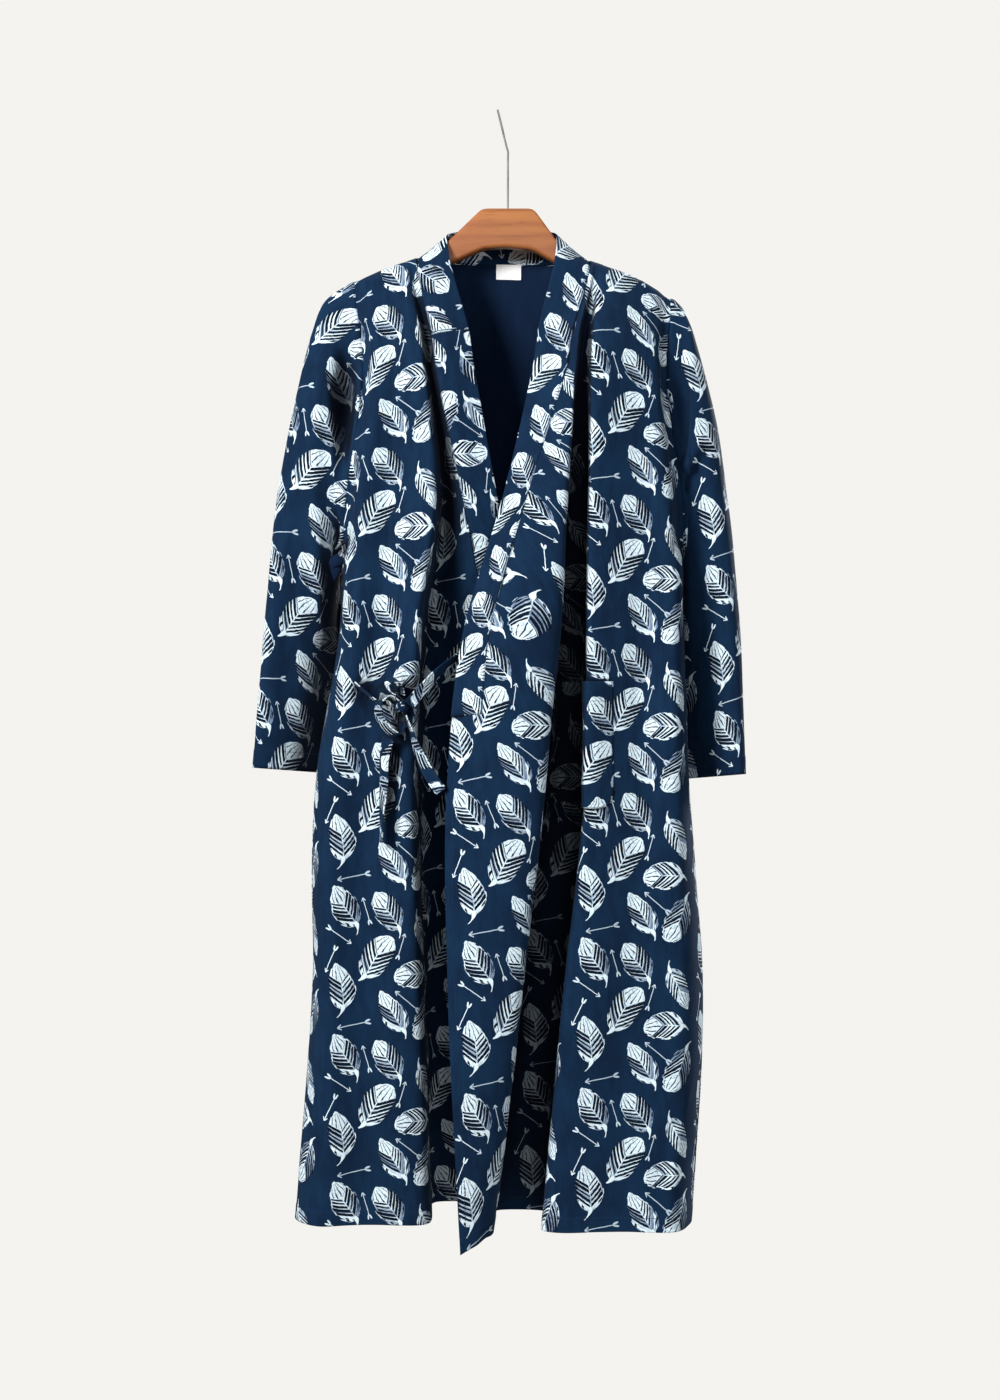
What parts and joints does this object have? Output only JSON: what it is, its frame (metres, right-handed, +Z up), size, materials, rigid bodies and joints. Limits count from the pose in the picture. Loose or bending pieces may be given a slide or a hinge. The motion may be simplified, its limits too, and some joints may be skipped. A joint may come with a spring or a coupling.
{
  "type": "cotton yukata robe on a wooden hanger",
  "caption": "Long cotton yukata robe with a wrapped front, band collar, straight sleeves, a patch pocket and a side bow tie, hung on a wooden hanger with a wire hook",
  "frame": {"origin": "inside of the hook's top, where a rod would carry it", "axes": "+Z up, +X towards the wearer's left, -Y towards the front"},
  "size_m": [0.5441, 0.1987, 1.231],
  "materials": {
    "printed_cotton": "matt navy plain-weave cotton, block printed in white with leaves and arrows, plain navy on the wrong side",
    "label_white": "smooth white woven label, bare",
    "hanger_wood": "stained orange-brown hardwood under satin varnish",
    "hook_steel": "plain steel wire"
  },
  "bodies": {
    "root": {"back": "printed_cotton", "front_left": "printed_cotton", "front_right": "printed_cotton", "collar": "printed_cotton", "sleeve_left": "printed_cotton", "sleeve_right": "printed_cotton", "pocket": "printed_cotton", "size_label": "label_white", "tie_side": "printed_cotton", "tie_front": "printed_cotton", "bow_loop_lower": "printed_cotton", "bow_loop_upper": "printed_cotton", "tie_tail_left": "printed_cotton", "tie_tail_right": "printed_cotton", "bow_knot": "printed_cotton", "hanger_wood": "hanger_wood", "hanger_hook": "hook_steel"}
  },
  "joints": []
}
